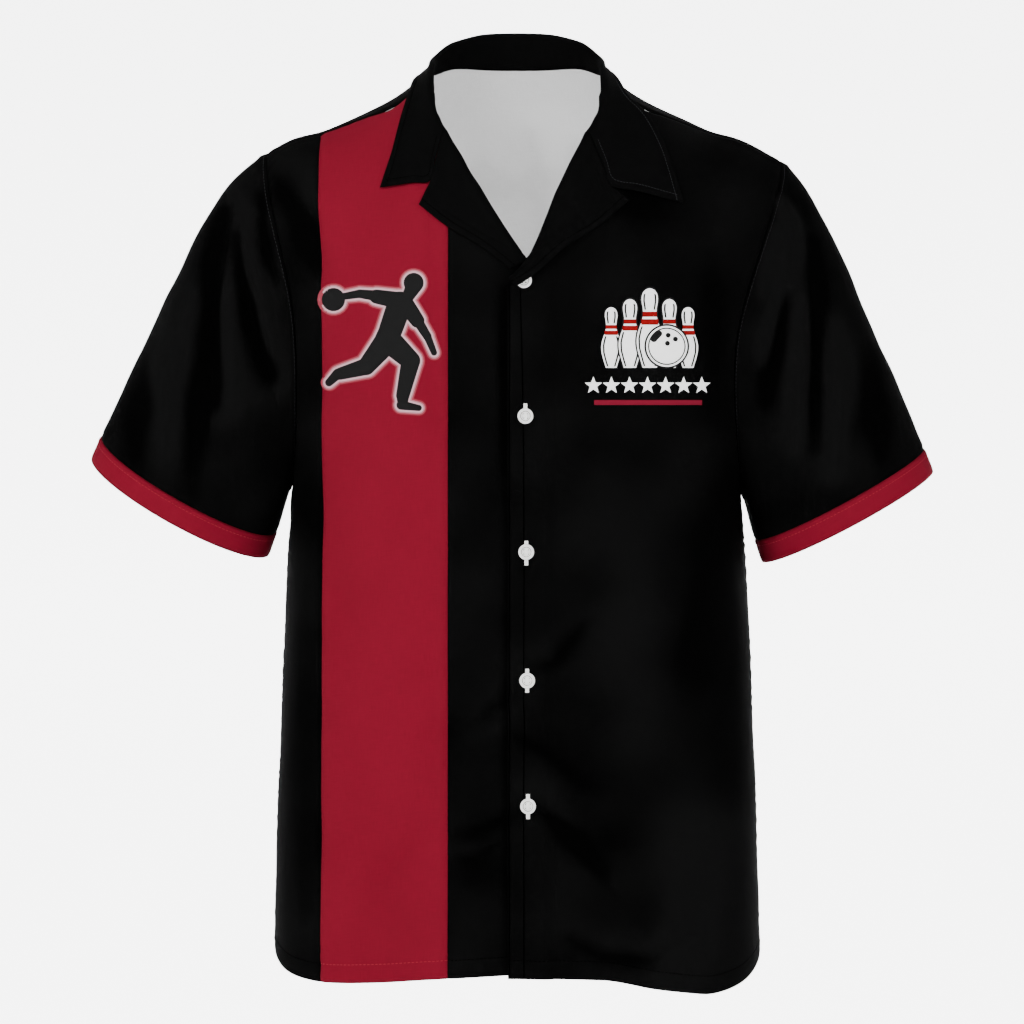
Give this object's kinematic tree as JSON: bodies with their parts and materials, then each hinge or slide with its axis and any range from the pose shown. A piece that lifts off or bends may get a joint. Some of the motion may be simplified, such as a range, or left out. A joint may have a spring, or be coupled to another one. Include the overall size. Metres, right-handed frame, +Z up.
{
  "type": "bowling shirt",
  "caption": "Short-sleeved button-front shirt with an open camp collar, a contrast stripe down one front and contrast sleeve hems, filled out and hollow as if worn.",
  "frame": {"origin": "middle of the neck base, between the shoulders, where the wearer holds the shirt up", "axes": "+Z up, -Y the way the shirt faces, +X the wearer's left"},
  "size_m": [0.6584, 0.2651, 0.7428],
  "materials": {
    "black_cloth": "matte plain-weave shirting",
    "red_cloth": "matte plain-weave shirting",
    "white_button": "polished resin"
  },
  "bodies": {
    "root": {"back": "black_cloth", "front_left": "black_cloth", "front_right_side": "black_cloth", "front_right_stripe": "red_cloth", "front_right_centre": "black_cloth", "sleeve_right": "black_cloth", "sleeve_left": "black_cloth", "cuff_band_right": "red_cloth", "cuff_band_left": "red_cloth", "collar": "black_cloth", "lapel_right": "black_cloth", "lapel_left": "black_cloth", "button_1": "white_button", "button_2": "white_button", "button_3": "white_button", "button_4": "white_button", "button_5": "white_button"}
  },
  "joints": []
}
